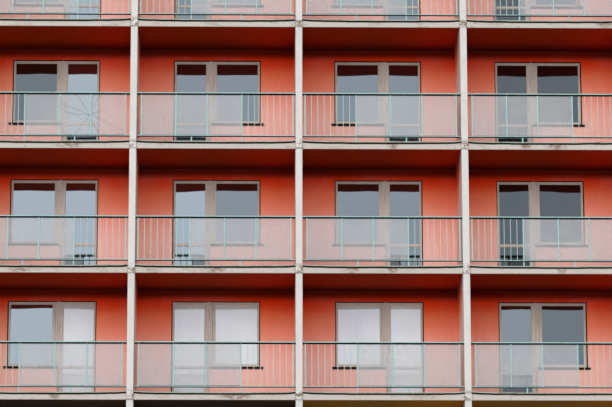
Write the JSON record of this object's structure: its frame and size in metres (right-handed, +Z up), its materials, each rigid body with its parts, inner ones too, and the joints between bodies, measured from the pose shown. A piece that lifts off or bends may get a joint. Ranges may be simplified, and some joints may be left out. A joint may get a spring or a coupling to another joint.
{
  "type": "apartment block",
  "caption": "Prefabricated apartment block with recessed balconies between cross walls, glazed steel railings, a flat roof with a parapet and a ground storey.",
  "frame": {"origin": "centre of the base's underside, at ground level", "axes": "+Z up, +Y from the street side with the loggias to the rear, +X to the right as seen from the street"},
  "size_m": [15.12, 12.125, 25.34],
  "materials": {
    "concrete": "painted off-white, weathered",
    "plinth_concrete": "rough grey",
    "render": "painted off-white, matt",
    "red_paint": "matt facade paint",
    "brown_paint": "matt facade paint",
    "ochre_paint": "matt facade paint",
    "roofing": "felt, matt",
    "door_and_window": "glazed, weathered pale frame",
    "window_frame": "old oil paint",
    "window_glass": "clear",
    "wired_glass": "frosted",
    "railing_steel": "satin grey-green paint",
    "sheet_metal": "weathered",
    "entrance_metal": "satin"
  },
  "bodies": {
    "root": {"balcony_doors": "door_and_window", "base_slab": "plinth_concrete", "cellar_windows": "door_and_window", "cross_wall_1": "concrete", "cross_wall_2": "concrete", "cross_wall_3": "concrete", "cross_wall_4": "concrete", "cross_wall_5": "concrete", "door_thresholds": "concrete", "entrance_doors": "entrance_metal", "entrance_frame": "entrance_metal", "floor_slabs": "concrete", "front_piers_brown": "brown_paint", "front_piers_ochre": "ochre_paint", "front_piers_red": "red_paint", "front_spandrels_brown": "brown_paint", "front_spandrels_ochre": "ochre_paint", "front_spandrels_red": "red_paint", "ground_wall_piers": "plinth_concrete", "ground_wall_spandrels": "plinth_concrete", "left_gable": "render", "loggia_slabs": "concrete", "loggia_windows": "door_and_window", "railing_bars": "railing_steel", "railing_glass": "wired_glass", "railings_1": "railing_steel", "railings_2": "railing_steel", "railings_3": "railing_steel", "railings_4": "railing_steel", "railings_5": "railing_steel", "railings_6": "railing_steel", "railings_7": "railing_steel", "railings_8": "railing_steel", "rear_piers_brown": "brown_paint", "rear_piers_ochre": "ochre_paint", "rear_piers_red": "red_paint", "rear_spandrels_brown": "brown_paint", "rear_spandrels_ochre": "ochre_paint", "rear_spandrels_red": "red_paint", "rear_windows": "door_and_window", "right_gable": "render", "roof_coping": "sheet_metal", "roof_parapet": "render", "roof_slab": "roofing", "window_sills": "sheet_metal"}
  },
  "joints": []
}
